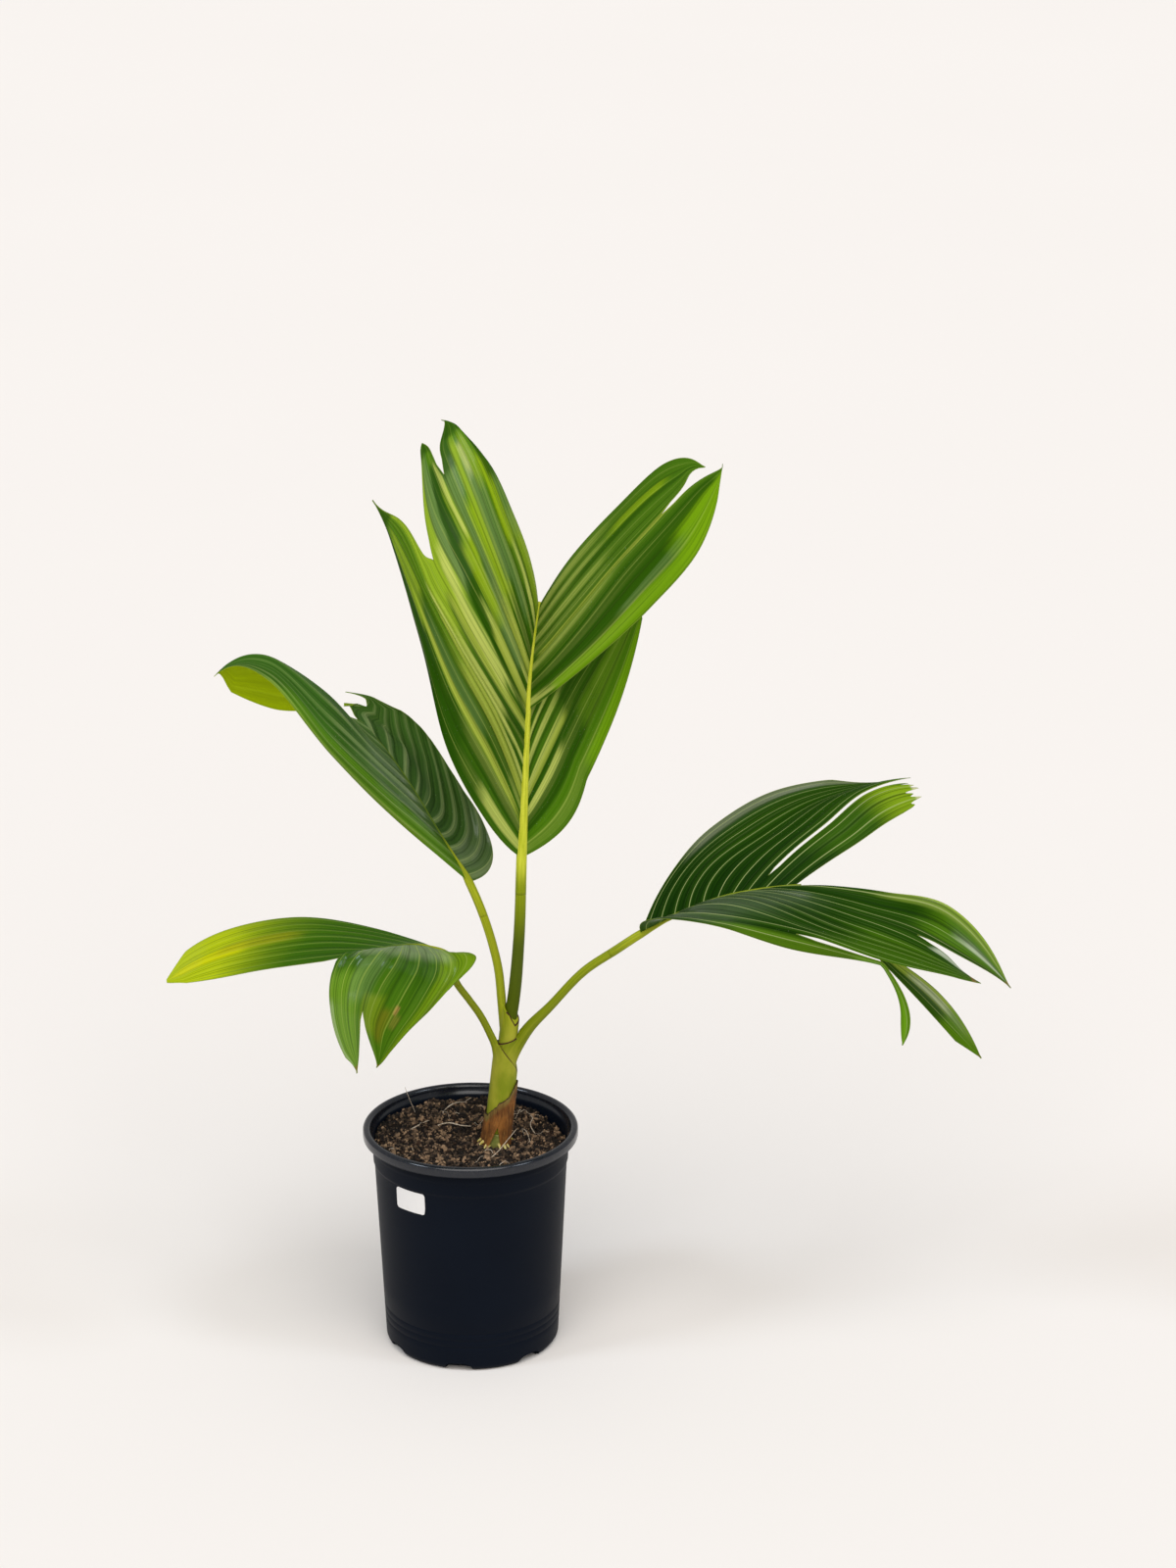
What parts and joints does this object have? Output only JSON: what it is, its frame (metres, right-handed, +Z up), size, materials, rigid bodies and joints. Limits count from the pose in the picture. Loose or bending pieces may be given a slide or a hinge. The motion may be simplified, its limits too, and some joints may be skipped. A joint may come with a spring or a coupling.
{
  "type": "potted chambeyronia palm",
  "caption": "Young feather palm in a round nursery pot: pleated, slit leaf blades on arching stalks that leave a sheathed stem, in potting mix.",
  "frame": {"origin": "middle of the pot's flat base, on the underside of its floor", "axes": "+Z up the pot's axis; -Y towards the front, the side with the hanging half of the lower left leaf; +X towards the long arching leaf"},
  "size_m": [0.7622, 0.2467, 0.8857],
  "materials": {
    "pot_plastic": "satin, near-black navy",
    "label_paper": "smooth white sticker, bare",
    "potting_mix": "loose bark and fibre mix, dark brown, rough",
    "stem_green": "olive green living stem",
    "dry_husk": "papery, fibrous, orange-brown",
    "stalk_green": "smooth, slightly glossy, yellow-green living tissue",
    "blade_green": "glossy living leaf, dark green with paler ribs"
  },
  "bodies": {
    "root": {"pot": "pot_plastic", "label": "label_paper", "soil": "potting_mix", "stem": "stem_green", "dry_sheath": "dry_husk", "centre_petiole": "stalk_green", "centre_blade": "blade_green", "upper_left_petiole": "stalk_green", "upper_left_blade": "blade_green", "right_petiole": "stalk_green", "right_blade": "blade_green", "lower_left_petiole": "stalk_green", "lower_left_blade": "blade_green"}
  },
  "joints": []
}
